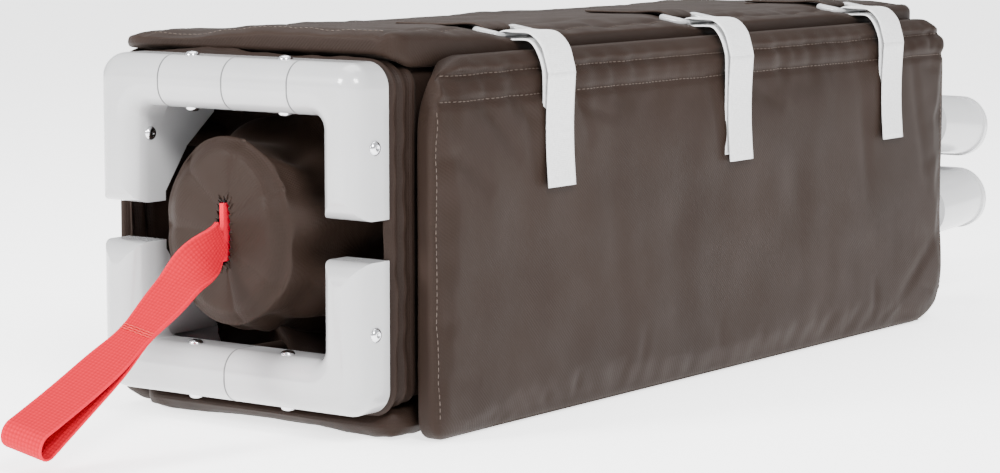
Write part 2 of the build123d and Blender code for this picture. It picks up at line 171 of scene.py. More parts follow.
def ramp(tree, factor, dark, light, low=0.3, high=0.7):
    """Turns a pattern into a colour between two shades."""
    made = node(tree, "ShaderNodeValToRGB")
    made.color_ramp.elements[0].position = low
    made.color_ramp.elements[1].position = high
    made.color_ramp.elements[0].color = (*dark, 1)
    made.color_ramp.elements[1].color = (*light, 1)
    tree.links.new(factor, made.inputs["Fac"])
    return made.outputs["Color"]


def shades(tree, shader, factor, dark, light, low=0.3, high=0.7):
    tree.links.new(ramp(tree, factor, dark, light, low, high), shader.inputs["Base Color"])


def rough_range(tree, shader, factor, low, high):
    """Lets a pattern move the roughness between two values."""
    made = node(tree, "ShaderNodeMapRange")
    made.inputs["To Min"].default_value = low
    made.inputs["To Max"].default_value = high
    tree.links.new(factor, made.inputs["Value"])
    tree.links.new(made.outputs["Result"], shader.inputs["Roughness"])


def paint_nodes(material, *starts):
    """Gives every design node whose name starts so this material."""
    for name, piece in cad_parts.items():
        if name.startswith(starts):
            for held in piece.material_slots:
                held.material = material


def finish(name, colour, roughness, tones=None, gloss=None, reliefs=(), inputs=()):
    """A plain material with uneven tone, patchy gloss and fine relief. Each starts with
    its noise's scale and detail: tones adds two colours, gloss two roughnesses, and a
    relief its strength and depth."""
    material, tree, shader = surface(name, colour, roughness)
    for key, value in inputs:
        shader.inputs[key].default_value = value
    if tones:
        shades(tree, shader, grain(tree, *tones[0]), *tones[1:])
    if gloss:
        rough_range(tree, shader, grain(tree, *gloss[0]), *gloss[1:])
    for noise_size, strength, depth in reliefs:
        bump(tree, shader, grain(tree, *noise_size), strength, depth)
    return material


coat = finish(
    "powder_coat", (0.62, 0.62, 0.63), 0.42,
    tones=((40, 3), (0.55, 0.55, 0.56), (0.66, 0.66, 0.67)),
    gloss=((25, 3), 0.36, 0.5), reliefs=[((900, 3), 0.25, 0.0003)],
)
paint_nodes(coat, "leg_", "floor_tube_")

# ==== Latches, hub and boards =========================================================
# Moulded white housings hold the rails' ends, each with a grey push button. The hub is
# dark moulded plastic. The boards in the pads are pressed wood.
latch_white = finish(
    "latch_white", (0.72, 0.72, 0.72), 0.35,
    gloss=((30, 3), 0.28, 0.42), reliefs=[((700, 3), 0.15, 0.0002)],
)
paint_nodes(latch_white, "latch_housing_")
button_grey = finish(
    "button_grey", (0.3, 0.3, 0.31), 0.5,
    tones=((50, 3), (0.26, 0.26, 0.27), (0.34, 0.34, 0.35)), reliefs=[((600, 3), 0.3, 0.0002)],
)
paint_nodes(button_grey, "latch_button_")
hub_dark = finish(
    "hub_dark", (0.06, 0.06, 0.062), 0.45,
    gloss=((40, 3), 0.38, 0.55), reliefs=[((500, 3), 0.3, 0.0002)],
)
paint_nodes(hub_dark, "floor_hub")
board_brown = finish(
    "pressed_board", (0.3, 0.19, 0.11), 0.75,
    tones=((260, 6), (0.22, 0.14, 0.08), (0.38, 0.25, 0.15)), reliefs=[((400, 3), 0.4, 0.0003)],
)
paint_nodes(board_brown, "near_board", "far_board", "top_board", "bottom_board")

# ==== Corner brackets, arm sleeves and feet ===========================================
# Injection moulded in glossy white, an L of two open channels at each corner. The
# mould leaves a faint ripple in the gloss, and handling has dulled it in patches.
bracket_white = finish(
    "bracket_white", (0.36, 0.36, 0.363), 0.2,
    tones=((14, 3), (0.345, 0.345, 0.348), (0.375, 0.375, 0.378)), gloss=((22, 3), 0.15, 0.3),
    reliefs=[((35, 1), 0.06, 0.0008), ((1200, 3), 0.05, 0.0001)],
    inputs=[
        ("Coat Weight", 0.5), ("Coat Roughness", 0.08),
        ("Subsurface Weight", 0.06), ("Subsurface Radius", (0.01, 0.01, 0.01)),
    ],
)
paint_nodes(bracket_white, "bracket_upper", "bracket_lower", "upper_arm", "lower_arm")
foot_white = finish(
    "foot_white", (0.55, 0.55, 0.555), 0.24,
    tones=((14, 3), (0.52, 0.52, 0.525), (0.57, 0.57, 0.575)), gloss=((22, 3), 0.18, 0.32),
    reliefs=[((1200, 3), 0.05, 0.0001)], inputs=[("Coat Weight", 0.4)],
)
paint_nodes(foot_white, "foot_")
chrome = finish(
    "rivet_chrome", (0.75, 0.75, 0.77), 0.16,
    gloss=((300, 3), 0.1, 0.26), reliefs=[((700, 3), 0.1, 0.0001)], inputs=[("Metallic", 1.0)],
)
paint_nodes(chrome, "latch_pins")

nose_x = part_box("bracket_upper_near")[0].x
arm_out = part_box("bracket_upper_near")[1].z
arm_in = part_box("upper_arm_sleeves")[0].z
frame_mid = (arm_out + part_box("bracket_lower_near")[0].z) / 2
half_out, half_in = arm_out - frame_mid, arm_in - frame_mid
rivet_x = nose_x + 0.0165
rivet_level = 0.0565
rivet_across = 0.038


def tube_faces(rings, sides, base=0):
    """The faces that join each ring of points to the next."""
    faces = []
    for start in range(base, base + (rings - 1) * sides, sides):
        for turn in range(sides):
            a, b = start + turn, start + (turn + 1) % sides
            faces.append((a, b, b + sides, a + sides))
    return faces


def dome(points, faces, centre, out, radius=0.0046, height=0.0023):
    """Adds one low round rivet head with a small dimple to a mesh."""
    out = Vector(out)
    side = out.orthogonal().normalized()
    other = out.cross(side)
    rings = (
        (1.0, -0.15), (1.0, 0.2), (0.9, 0.55), (0.72, 0.82), (0.5, 0.97), (0.3, 0.99), (0.2, 0.75),
    )
    base, sides = len(points), 20
    for wide, up in rings:
        for turn in range(sides):
            angle = turn * 2 * math.pi / sides
            arm = side * math.cos(angle) + other * math.sin(angle)
            points.append(Vector(centre) + arm * radius * wide + out * height * up)
    faces.extend(tube_faces(len(rings), sides, base))
    faces.append(list(range(len(points) - sides, len(points))))


points, faces = [], []
for way in (1, -1):
    for level in (rivet_level, -rivet_level):
        dome(points, faces, (rivet_x, way * half_out, frame_mid + level), (0, way, 0))
        dome(points, faces, (rivet_x, way * half_in, frame_mid + level), (0, -way, 0))
    for across in (rivet_across, -rivet_across):
        dome(points, faces, (rivet_x, across, frame_mid + way * half_out), (0, 0, way))
        dome(points, faces, (rivet_x, across, frame_mid + way * half_in), (0, 0, -way))
rivets = mesh_piece("rivet_heads", points, faces, chrome)
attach(rivets, "frame")
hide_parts("bracket_rivets")

joint_grey = finish(
    "joint_shadow", (0.09, 0.09, 0.092), 0.6,
    gloss=((60, 3), 0.5, 0.7), reliefs=[((500, 3), 0.2, 0.0002)],
)
nose_radius = 0.0145


def arm_joint(name, across, way):
    """The fine line where two mouldings meet, round the nose of a horizontal arm."""
    back, bend_x = nose_x + 0.028, nose_x + nose_radius
    outline = [(back, half_in), (bend_x, half_in)]
    for centre_z, first, turns in (
        (half_in + nose_radius, -90, range(1, 12)), (half_out - nose_radius, 180, range(13)),
    ):
        for n in turns:
            angle = math.radians(first - 90 * n / 12)
            outline.append(
                (bend_x + nose_radius * math.cos(angle), centre_z + nose_radius * math.sin(angle))
            )
    outline.append((back, half_out))
    middle = Vector((bend_x, (half_in + half_out) / 2))
    profile = ((-0.0007, -0.0004), (-0.0005, 0.00014), (0.0005, 0.00014), (0.0007, -0.0004))
    points = []
    for x, z in outline:
        away = Vector((0, math.copysign(1, z - middle.y)))
        if x < bend_x:
            away = (Vector((x, z)) - middle).normalized()
        for step, lift in profile:
            place = (x + away.x * lift, across + step, frame_mid + way * (z + away.y * lift))
            points.append(place)
    line = mesh_piece(name, points, tube_faces(len(outline), len(profile)), joint_grey)
    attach(line, "frame")


for name, across, way in (
    ("far", 0.0525, 1), ("middle", 0.0, 1), ("near", -0.0525, 1), ("lower", 0.0, -1),
):
    arm_joint("arm_joint_" + name, across, way)

# ==== Brown cloth =====================================================================
# Coated polyester in a fine plain weave: a warm dark brown with a soft sheen, paler
# where folds have rubbed. The same cloth makes the pads, the cot's sides and hub cover.


def thread_waves(tree, axis, pitch):
    """One set of threads as a wave across an axis, at its pitch in metres."""
    made = node(tree, "ShaderNodeTexWave", wave_type="BANDS", bands_direction=axis)
    made.inputs["Scale"].default_value = 0.314 / pitch
    made.inputs["Distortion"].default_value = 0.6
    made.inputs["Detail"].default_value = 1.0
    tree.links.new(object_place(tree), made.inputs["Vector"])
    return made.outputs["Fac"]


def mixed(tree, one, other, how="MULTIPLY"):
    made = node(tree, "ShaderNodeMath", operation=how)
    tree.links.new(one, made.inputs[0])
    tree.links.new(other, made.inputs[1])
    return made.outputs["Value"]


def brown_cloth(name, dark, light, worn):
    material, tree, shader = surface(name, light, 0.6)
    shader.inputs["Sheen Weight"].default_value = 0.02
    shader.inputs["Sheen Roughness"].default_value = 0.45
    shader.inputs["Sheen Tint"].default_value = (0.9, 0.8, 0.72, 1)
    shader.inputs["Specular IOR Level"].default_value = 0.12
    shade = ramp(tree, grain(tree, 9, 5), dark, light)
    edge = node(tree, "ShaderNodeNewGeometry").outputs["Pointiness"]
    rubbed = node(tree, "ShaderNodeMapRange")
    rubbed.inputs["From Min"].default_value = 0.52
    rubbed.inputs["From Max"].default_value = 0.62
    rubbed.inputs["To Max"].default_value = 0.5
    tree.links.new(edge, rubbed.inputs["Value"])
    blend = node(tree, "ShaderNodeMix", data_type="RGBA")
    tree.links.new(rubbed.outputs["Result"], blend.inputs["Factor"])
    tree.links.new(shade, blend.inputs["A"])
    blend.inputs["B"].default_value = (*worn, 1)
    tree.links.new(blend.outputs["Result"], shader.inputs["Base Color"])
    rough_range(tree, shader, grain(tree, 30, 4), 0.5, 0.68)
    weave = mixed(tree, thread_waves(tree, "X", 0.0011), thread_waves(tree, "DIAGONAL", 0.0013))
    bump(tree, shader, grain(tree, 60, 4), 0.12, 0.0012)
    bump(tree, shader, weave, 0.35, 0.0003)
    return material


pad_cloth = brown_cloth(
    "pad_cloth", (0.0135, 0.0072, 0.0047), (0.0175, 0.0096, 0.0064), (0.034, 0.021, 0.0155)
)
cot_cloth = brown_cloth(
    "cot_cloth", (0.0105, 0.0055, 0.0036), (0.015, 0.0081, 0.0055), (0.03, 0.0185, 0.0135)
)
paint_nodes(cot_cloth, "rail_")  # the top rails are sleeved in the cot's cloth
thread_brown, tree, shader = surface("thread_brown", (0.2, 0.155, 0.125), 0.55)
shades(tree, shader, grain(tree, 800), (0.042, 0.029, 0.021), (0.075, 0.053, 0.041))
bump(tree, shader, thread_waves(tree, "X", 0.0004), 0.3, 0.0001)

# ==== Mattress pads ===================================================================
# Four pads of thin foam and board in brown cloth. Each is sewn round its rim under a
# bound edge, so the cloth crowns on both faces and puckers where it meets the binding.


def smooth_step(value):
    value = np.clip(value, 0.0, 1.0)
    return value * value * (3 - 2 * value)


def box_surface(cells_u, cells_v, cells_w):
    """The outside of a block of cells: its lattice points and its four-sided faces."""
    index, points, faces = {}, [], []

    def at(i, j, k):
        if (i, j, k) not in index:
            index[(i, j, k)] = len(points)
            points.append((i / cells_u, j / cells_v, k / cells_w))
        return index[(i, j, k)]

    def side(count_a, count_b, corner, flip):
        for a in range(count_a):
            for b in range(count_b):
                around = ((a, b), (a + 1, b), (a + 1, b + 1), (a, b + 1))
                quad = [at(*corner(*spot)) for spot in around]
                faces.append(quad[::-1] if flip else quad)

    for k, flip in ((0, True), (cells_w, False)):
        side(cells_u, cells_v, lambda a, b: (a, b, k), flip)
    for j, flip in ((0, False), (cells_v, True)):
        side(cells_u, cells_w, lambda a, b: (a, j, b), flip)
    for i, flip in ((0, True), (cells_u, False)):
        side(cells_v, cells_w, lambda a, b: (i, a, b), flip)
    return np.array(points), faces


def drawn_in(share, pull=0.45):
    """Moves evenly spaced shares towards both ends, where a pad's edge needs them."""
    return share - pull * np.sin(2 * np.pi * share) / (2 * np.pi)


def round_over(distance, radius):
    """How far a face has dropped, from 0 to 1, at this distance from its edge."""
    share = np.clip(1 - distance / radius, 0, 1)
    return 1 - np.sqrt(np.clip(1 - share * share, 0, 1))


class Pad:
    """One pad's own axes: u along the bundle, v across the panel and w out from the
    bundle. Its size comes from its design node."""

    def __init__(self, name, out_axis, corners):
        low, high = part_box(name + "_pad")
        self.name = name
        self.low, self.high = np.array(low), np.array(high)
        self.out_axis, self.out_sign = out_axis
        self.v_axis = 3 - self.out_axis
        size = self.high - self.low
        self.length, self.height, self.thick = size[0], size[self.v_axis], size[self.out_axis]
        self.corners = corners

    def place(self, uvw):
        """Points given in the pad's own u, v and w, in the bundle's space."""
        uvw = np.asarray(uvw, float)
        out = np.zeros_like(uvw)
        out[:, 0] = self.low[0] + uvw[:, 0]
        out[:, self.v_axis] = self.low[self.v_axis] + uvw[:, 1]
        inner = self.low if self.out_sign > 0 else self.high
        out[:, self.out_axis] = inner[self.out_axis] + self.out_sign * uvw[:, 2]
        return out

    def unplace(self, points):
        points = np.asarray(points, float)
        out = np.zeros_like(points)
        out[:, 0] = points[:, 0] - self.low[0]
        out[:, 1] = points[:, self.v_axis] - self.low[self.v_axis]
        inner = self.low if self.out_sign > 0 else self.high
        out[:, 2] = (points[:, self.out_axis] - inner[self.out_axis]) * self.out_sign
        return out

    def round_corners(self, u, v):
        """Bends the square outline's corners into arcs."""
        u, v = u.copy(), v.copy()
        for (side_u, side_v), radius in self.corners.items():
            s = (u - (self.length - radius) if side_u else radius - u) / radius
            t = (v - (self.height - radius) if side_v else radius - v) / radius
            inside = (s > 0) & (t > 0)
            bent_s = s * np.sqrt(np.clip(1 - t * t / 2, 0, 1))
            bent_t = t * np.sqrt(np.clip(1 - s * s / 2, 0, 1))
            u = np.where(inside, self.length - radius + bent_s * radius if side_u
                         else radius - bent_s * radius, u)
            v = np.where(inside, self.height - radius + bent_t * radius if side_v
                         else radius - bent_t * radius, v)
        return u, v


def dent(uvw, line, width, depth, face_w):
    """Presses a crease into one face, along a line given by its two ends in u and v.
    It is deepest in the middle and fades out at both ends."""
    (u0, v0), (u1, v1) = line
    along = np.array([u1 - u0, v1 - v0])
    run = np.hypot(*along)
    offset = uvw[:, :2] - np.array([u0, v0])
    share = offset @ along / run**2
    across = np.abs(offset @ np.array([-along[1], along[0]])) / run
    fade = np.clip(1 - np.abs(2 * share - 1), 0, 1) ** 0.6
    on_face = smooth_step((uvw[:, 2] - face_w) / 0.004)
    uvw[:, 2] -= depth * np.exp(-((across / width) ** 2)) * fade * on_face


def groove(uvw, level, width, depth, face_w, seed):
    """A sewn line along u at one v: a valley with small uneven puckers."""
    ripple = np.array([noise.noise(Vector((u * 55, seed, 0))) for u in uvw[:, 0]])
    near_line = np.exp(-(((uvw[:, 1] - level) / width) ** 2))
    wide = np.exp(-(((uvw[:, 1] - level) / (width * 3.5)) ** 2))
    on_face = smooth_step((uvw[:, 2] - face_w) / 0.004)
    uvw[:, 2] += (-depth * near_line + 0.9 * depth * ripple * wide) * on_face


def swell(piece, held, pressure, slack, cap):
    """Lets the cloth take up its slack under a little pressure, held along its rim."""
    rest = np.array([v.co for v in piece.data.vertices])
    rim = piece.vertex_groups.new(name="sewn_rim")
    rim.add(held, 1.0, "REPLACE")
    cloth = piece.modifiers.new("swell", "CLOTH")
    cloth.settings.quality = 4
    cloth.settings.mass = 0.3
    cloth.settings.tension_stiffness = 25
    cloth.settings.compression_stiffness = 25
    cloth.settings.bending_stiffness = 0.3
    cloth.settings.vertex_group_mass = "sewn_rim"
    cloth.settings.use_pressure = True
    cloth.settings.uniform_pressure_force = pressure
    cloth.settings.shrink_min = -slack
    cloth.settings.effector_weights.gravity = 0
    for step in range(1, 21):
        studio.frame_set(step)
    settled = piece.evaluated_get(bpy.context.evaluated_depsgraph_get())
    moved = np.array([v.co for v in settled.data.vertices])
    piece.modifiers.remove(cloth)
    piece.vertex_groups.remove(rim)
    studio.frame_set(1)
    shift = moved - rest
    far = np.linalg.norm(shift, axis=1, keepdims=True)
    return rest + shift * np.minimum(1, cap / np.maximum(far, 1e-9))


def subdivide_smooth(piece):
    """One level of subdivision, made part of the mesh."""
    piece.modifiers.new("round", "SUBSURF").levels = 1
    finished = piece.evaluated_get(bpy.context.evaluated_depsgraph_get())
    data = bpy.data.meshes.new_from_object(finished)
    piece.modifiers.clear()
    piece.data = data


pad_cell = 0.0052
board_cover = 0.0008
pad_pressure = 2.5
pad_slack = 0.004
pad_swell_cap = 0.0022
seam_width = 0.0028


def sew_pad(pad, body, seams, creases, seed, shape, rim_puckers=46):
    """Cuts, fills and sews one pad, and gives it to its body. shape moves its points in
    u, v and w from a plain block to the pad's own form."""
    cells = [max(3, round(n / pad_cell)) for n in (pad.length, pad.height)]
    lattice, faces = box_surface(cells[0], cells[1], 4)
    if pad.out_sign * (1 if pad.out_axis == 2 else -1) < 0:
        faces = [face[::-1] for face in faces]
    u, v = drawn_in(lattice[:, 0]) * pad.length, drawn_in(lattice[:, 1]) * pad.height
    start = shape(pad, u, v, lattice[:, 2])
    piece = mesh_piece("mattress_" + pad.name, pad.place(start), faces, pad_cloth)
    edge = np.minimum(np.minimum(u, pad.length - u), np.minimum(v, pad.height - v))
    held = [int(i) for i in np.nonzero(edge < 1e-6)[0]]
    settled = swell(piece, held, pad_pressure, pad_slack, pad_swell_cap)
    uvw = pad.unplace(settled)
    uvw[:, 2] = np.clip(uvw[:, 2], -0.5 * pad.thick, 1.4 * pad.thick)
    piece.data.vertices.foreach_set("co", pad.place(uvw).ravel())
    subdivide_smooth(piece)
    uvw = pad.unplace([v.co for v in piece.data.vertices])
    face_w = pad.thick * 0.5
    outward = pad.out_sign * np.array([v.normal[pad.out_axis] for v in piece.data.vertices])
    dice = random.Random(seed)
    for crease in creases:
        dent(uvw, *crease, face_w)
    for _ in range(rim_puckers):
        # short creases square to the edge, where the seam gathers the cloth
        reach = dice.uniform(0.012, 0.045)
        if dice.random() < 0.75:
            u0 = dice.uniform(0.02, pad.length - 0.02)
            v0 = 0.006 if dice.random() < 0.4 else pad.height - 0.01
            v1 = v0 + reach if v0 < pad.height / 2 else v0 - reach
            line = ((u0, v0), (u0 + dice.uniform(-0.012, 0.012), v1))
        else:
            v0 = dice.uniform(0.02, pad.height - 0.02)
            u0 = 0.014 if dice.random() < 0.5 else pad.length - 0.008
            u1 = u0 + reach if u0 < pad.length / 2 else u0 - reach
            line = ((u0, v0), (u1, v0 + dice.uniform(-0.012, 0.012)))
        dent(uvw, line, dice.uniform(0.003, 0.007), dice.uniform(0.0003, 0.0011), face_w)
    for level, depth in seams:
        groove(uvw, level, seam_width, depth, face_w, seed)
    broad = np.array([noise.noise(Vector((p[0] * 9, p[1] * 14, seed))) for p in uvw])
    fine = np.array([noise.noise(Vector((p[0] * 34, p[1] * 20, seed + 7))) for p in uvw])
    inside = smooth_step(np.minimum(uvw[:, 1], pad.height - uvw[:, 1]) / 0.03)
    on_face = smooth_step((uvw[:, 2] - face_w) / 0.004)
    uvw[:, 2] += (0.0014 * broad + 0.0006 * fine) * inside * on_face - 0.001 * on_face
    # the cloth lies on the board and on the floor, and sinks into neither
    board = pad.unplace(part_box(pad.name + "_board"))
    low, high = board.min(axis=0), board.max(axis=0)
    beyond = np.maximum(low[:2] - uvw[:, :2], uvw[:, :2] - high[:2]).max(axis=1)
    slope = 0.6 * np.clip(beyond - 0.001, 0, None)
    lifted = np.maximum(uvw[:, 2], high[2] + board_cover - slope)
    lowered = np.minimum(uvw[:, 2], low[2] - board_cover + slope)
    uvw[:, 2] = np.where(outward > 0.2, lifted, np.where(outward < -0.2, lowered, uvw[:, 2]))
    placed = pad.place(uvw)
    placed[:, 2] = np.maximum(placed[:, 2], 0)
    piece.data.vertices.foreach_set("co", placed.ravel())
    piece.data.update()
    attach(piece, body)
    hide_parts(pad.name + "_pad")
    return piece


def plain_shape(pad, u, v, level, radius=0.009, rim=0.42):
    """A pad whose two faces round over evenly to its rim."""
    edge = np.minimum(np.minimum(u, pad.length - u), np.minimum(v, pad.height - v))
    drop = rim * round_over(edge, radius)
    bent_u, bent_v = pad.round_corners(u, v)
    return np.column_stack([bent_u, bent_v, pad.thick * (drop + level * (1 - 2 * drop))])


def near_shape(pad, u, v, level):
    """The near pad: boxed at its ends, and rolled over along its top edge. Its left end
    is drawn in, and thins towards the outer face."""
    top_roll = round_over(pad.height - v, 0.015) * 0.5
    ends = np.minimum(u, pad.length - u)
    sides = round_over(np.minimum(ends, v), 0.0035) * 0.16
    drop = np.maximum(top_roll, sides)
    thinning = 0.32 * (1 - smooth_step(u / 0.03))
    lowest = np.maximum(drop * 0.15, thinning)
    inward = 0.0125 * (1 - u / pad.length)
    bent_u, bent_v = pad.round_corners(u, v)
    w = lowest + level * (1 - drop - lowest)
    return np.column_stack([bent_u + inward, bent_v, pad.thick * w])


def top_shape(pad, u, v, level):
    """The top pad: full height along its near side and its left end, and sinking away
    to the far side. The straps pull its near edge down where they cross it."""
    edge = np.minimum(u, pad.length - u)
    drop = 0.4 * np.maximum(round_over(edge, 0.01), round_over(pad.height - v, 0.012))
    drop = np.maximum(drop, 0.5 * round_over(v, 0.009))
    away = smooth_step((v - 0.03) / (pad.height - 0.05))
    at_end = 1 - smooth_step(u / 0.16)
    full = 1 - 0.26 * away * (1 - 0.5 * at_end)
    full += 0.36 * at_end * (1 - smooth_step((v - 0.1) / 0.09))
    full -= 0.3 * smooth_step((v - pad.height + 0.024) / 0.024)
    full -= 0.2 * smooth_step((u - pad.length + 0.024) / 0.024)
    for name in strap_names:
        low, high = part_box("strap_ring_" + name)
        middle = (low.x + high.x) / 2 - pad.low[0]
        pulled = np.exp(-(((u - middle) / 0.026) ** 2)) * (1 - smooth_step(v / 0.05))
        full -= 0.4 * pulled
    bent_u, bent_v = pad.round_corners(u, v)
    droop = 0.5 * (1 - smooth_step(v / 0.016)) * smooth_step(u / 0.02)
    w = drop * 0.6 - droop * (1 - level) + level * (full - drop * 1.2)
    return np.column_stack([bent_u, bent_v, pad.thick * w])


strap_names = ("left", "middle", "right")
near = Pad("near", (1, -1), {(0, 1): 0.045, (0, 0): 0.014, (1, 0): 0.045, (1, 1): 0.024})
far = Pad("far", (1, 1), {(0, 1): 0.02, (0, 0): 0.03, (1, 0): 0.03, (1, 1): 0.02})
top = Pad("top", (2, 1), {(0, 0): 0.016, (0, 1): 0.03, (1, 1): 0.03, (1, 0): 0.03})
bottom = Pad("bottom", (2, -1), {(0, 0): 0.02, (0, 1): 0.02, (1, 1): 0.02, (1, 0): 0.02})

# each crease: its two ends in u and v, its width and its depth
near_creases = [
    (((0.03, 0.232), (0.1, 0.168)), 0.005, 0.0022),
    (((0.055, 0.23), (0.125, 0.186)), 0.0045, 0.0018),
    (((0.012, 0.19), (0.07, 0.15)), 0.006, 0.0016),
    (((0.1, 0.232), (0.118, 0.15)), 0.006, 0.002),
    (((0.156, 0.232), (0.178, 0.17)), 0.005, 0.0018),
    (((0.157, 0.2), (0.21, 0.186)), 0.004, 0.0012),
    (((0.32, 0.225), (0.336, 0.15)), 0.005, 0.0015),
    (((0.376, 0.2), (0.42, 0.18)), 0.005, 0.0012),
    (((0.2, 0.2), (0.215, 0.03)), 0.014, 0.0012),
    (((0.29, 0.19), (0.28, 0.02)), 0.018, 0.0012),
    (((0.43, 0.2), (0.45, 0.03)), 0.016, 0.0012),
    (((0.53, 0.22), (0.545, 0.1)), 0.008, 0.0014),
    (((0.6, 0.23), (0.64, 0.1)), 0.007, 0.0012),
    (((0.59, 0.02), (0.66, 0.07)), 0.006, 0.0015),
]
top_creases = [
    (((0.06, 0.03), (0.3, 0.045)), 0.006, 0.0016),
    (((0.3, 0.02), (0.52, 0.04)), 0.006, 0.0018),
    (((0.1, 0.11), (0.4, 0.12)), 0.012, 0.0014),
    (((0.45, 0.08), (0.64, 0.1)), 0.008, 0.0014),
    (((0.15, 0.17), (0.55, 0.18)), 0.012, 0.0012),
]
far_creases = [
    (((0.1, 0.04), (0.13, 0.2)), 0.01, 0.0014),
    (((0.3, 0.03), (0.28, 0.19)), 0.014, 0.0012),
    (((0.5, 0.05), (0.53, 0.21)), 0.01, 0.0014),
]
# each seam: its height on the panel and its depth
near_seams = [(near.height - 0.0115, 0.0034), (near.height - 0.027, 0.0018)]
far_seams = [(far.height - 0.0115, 0.0015), (far.height - 0.03, 0.001)]
top_seams = [(0.012, 0.0014), (top.height - 0.03, 0.001)]
mattress_near = sew_pad(near, "near_panel", near_seams, near_creases, 3, near_shape)
mattress_far = sew_pad(far, "far_panel", far_seams, far_creases, 5, plain_shape)
mattress_top = sew_pad(top, "top_panel", top_seams, top_creases, 8, top_shape)
sew_pad(bottom, "frame", [], [], 11, plain_shape)

# ==== Stitching =======================================================================
# Lockstitch in a paler brown thread runs along every sewn line: the long seams across
# the pads and the row beside each pad's edges.


def add_stitch(points, faces, rings, side, out):
    """One stitch: a short six-sided rod through rings, each a centre and a radius."""
    base = len(points)
    for centre, radius in rings:
        for turn in range(6):
            angle = turn * math.pi / 3
            points.append(centre + (side * math.cos(angle) + out * math.sin(angle)) * radius)
    faces.extend(tube_faces(len(rings), 6, base))
    faces.append([base + turn for turn in range(6)][::-1])
    faces.append(list(range(len(points) - 6, len(points))))


def surface_tree(piece):
    return BVHTree.FromPolygons(
        [v.co.copy() for v in piece.data.vertices], [p.vertices[:] for p in piece.data.polygons]
    )


def sew_line(name, tree, pad, line, body, material, pitch=0.0042, length=0.003, girth=0.0005):
    """A row of stitches along a line in u and v, dropped on the pad's outer face."""
    out = Vector(pad.place([(0, 0, 1)])[0] - pad.place([(0, 0, 0)])[0])
    spots = [Vector(pad.place([(u, v, pad.thick)])[0]) for u, v in line]
    points, faces = [], []
    travelled, due = 0.0, 0.0
    for start, end in zip(spots, spots[1:]):
        run = (end - start).length
        while due <= travelled + run and run > 0:
            centre = start.lerp(end, (due - travelled) / run)
            place, normal, _, _ = tree.ray_cast(centre + out * 0.03, -out)
            due += pitch
            if place is None:
                continue
            way = (end - start).normalized()
            way = (way - normal * way.dot(normal)).normalized()
            rings = []
            for share, fat in ((-0.5, 0.25), (-0.25, 1.0), (0.25, 1.0), (0.5, 0.25)):
                centre = place + way * (share * length) + normal * (0.3 * girth * fat)
                rings.append((centre, girth * fat / 2 + 0.00005))
            add_stitch(points, faces, rings, normal.cross(way), normal)
        travelled += run
    row = mesh_piece(name, points, faces, material)
    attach(row, body)
    return row


def wander(u, seed):
    return 0.0007 * noise.noise(Vector((u * 30, seed, 0)))


for pad, piece, body, seams in (
    (near, mattress_near, "near_panel", near_seams),
    (far, mattress_far, "far_panel", far_seams),
    (top, mattress_top, "top_panel", top_seams),
):
    cloth_tree = surface_tree(piece)
    for number, (level, _) in enumerate(seams):
        line = [(u, level + wander(u, number)) for u in np.arange(0.022, pad.length - 0.012, 0.004)]
        sew_line(f"seam_stitch_{pad.name}_{number + 1}", cloth_tree, pad, line, body, thread_brown)
    for end, u in (("left", 0.0165 if pad is near else 0.008), ("right", pad.length - 0.008)):
        reach = np.arange(0.016, pad.height - 0.03, 0.004)
        line = [(u + wander(v, 5), v) for v in reach]
        sew_line(f"end_stitch_{pad.name}_{end}", cloth_tree, pad, line, body, thread_brown)

# ==== Panel hinges ====================================================================
# Where two panels fold, a strip of cloth joins their outer edges. It lies along the
# hinge line, so it stays with the panel that holds that line.


strip_end = 0.034


def hinge_strip(name, body, start, end, seed):
    """A narrow strip of cloth along the bundle, between two edges given in y and z."""
    rows, columns = 180, 6
    points = []
    for row in range(rows + 1):
        x = near.low[0] + strip_end + (near.length - 2 * strip_end) * row / rows
        for column in range(columns + 1):
            share = column / columns
            y = start[0] + (end[0] - start[0]) * share
            z = start[1] + (end[1] - start[1]) * share
            slack = 0.0006 * noise.noise(Vector((x * 60, share * 2, seed)))
            slack *= math.sin(share * math.pi)
            points.append((x, y + slack * abs(end[1] - start[1]) * 40, z + abs(slack) * 0.3))
    wide = columns + 1
    faces = [
        (r * wide + c, (r + 1) * wide + c, (r + 1) * wide + c + 1, r * wide + c + 1)
        for r in range(rows)
        for c in range(columns)
    ]
    strip = mesh_piece(name, points, faces, pad_cloth)
    strip.modifiers.new("cloth", "SOLIDIFY").thickness = 0.0006
    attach(strip, body)
    return strip


hinge_strip("hinge_near", "frame", (near.high[1] + 0.004, 0.001), (near.low[1] + 0.004, 0.001), 1)
hinge_strip("hinge_far", "frame", (far.low[1] - 0.004, 0.001), (far.high[1] - 0.004, 0.001), 2)
hinge_strip(
    "hinge_top", "far_panel",
    (far.high[1] + 0.0004, far.high[2] - 0.008), (far.high[1] + 0.0004, top.high[2] - 0.006), 3,
)

# ==== Cot sides and their gathered folds ==============================================
# The cot's own side cloth, folded flat round the tubes. Its hem stands a little proud
# between the brackets and the pads, and inside it falls in folds round the tubes.
fabric_low, fabric_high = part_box("side_fabric")
bundle_mid = (fabric_low.z + fabric_high.z) / 2
bundle_half = (fabric_high.z - fabric_low.z) / 2


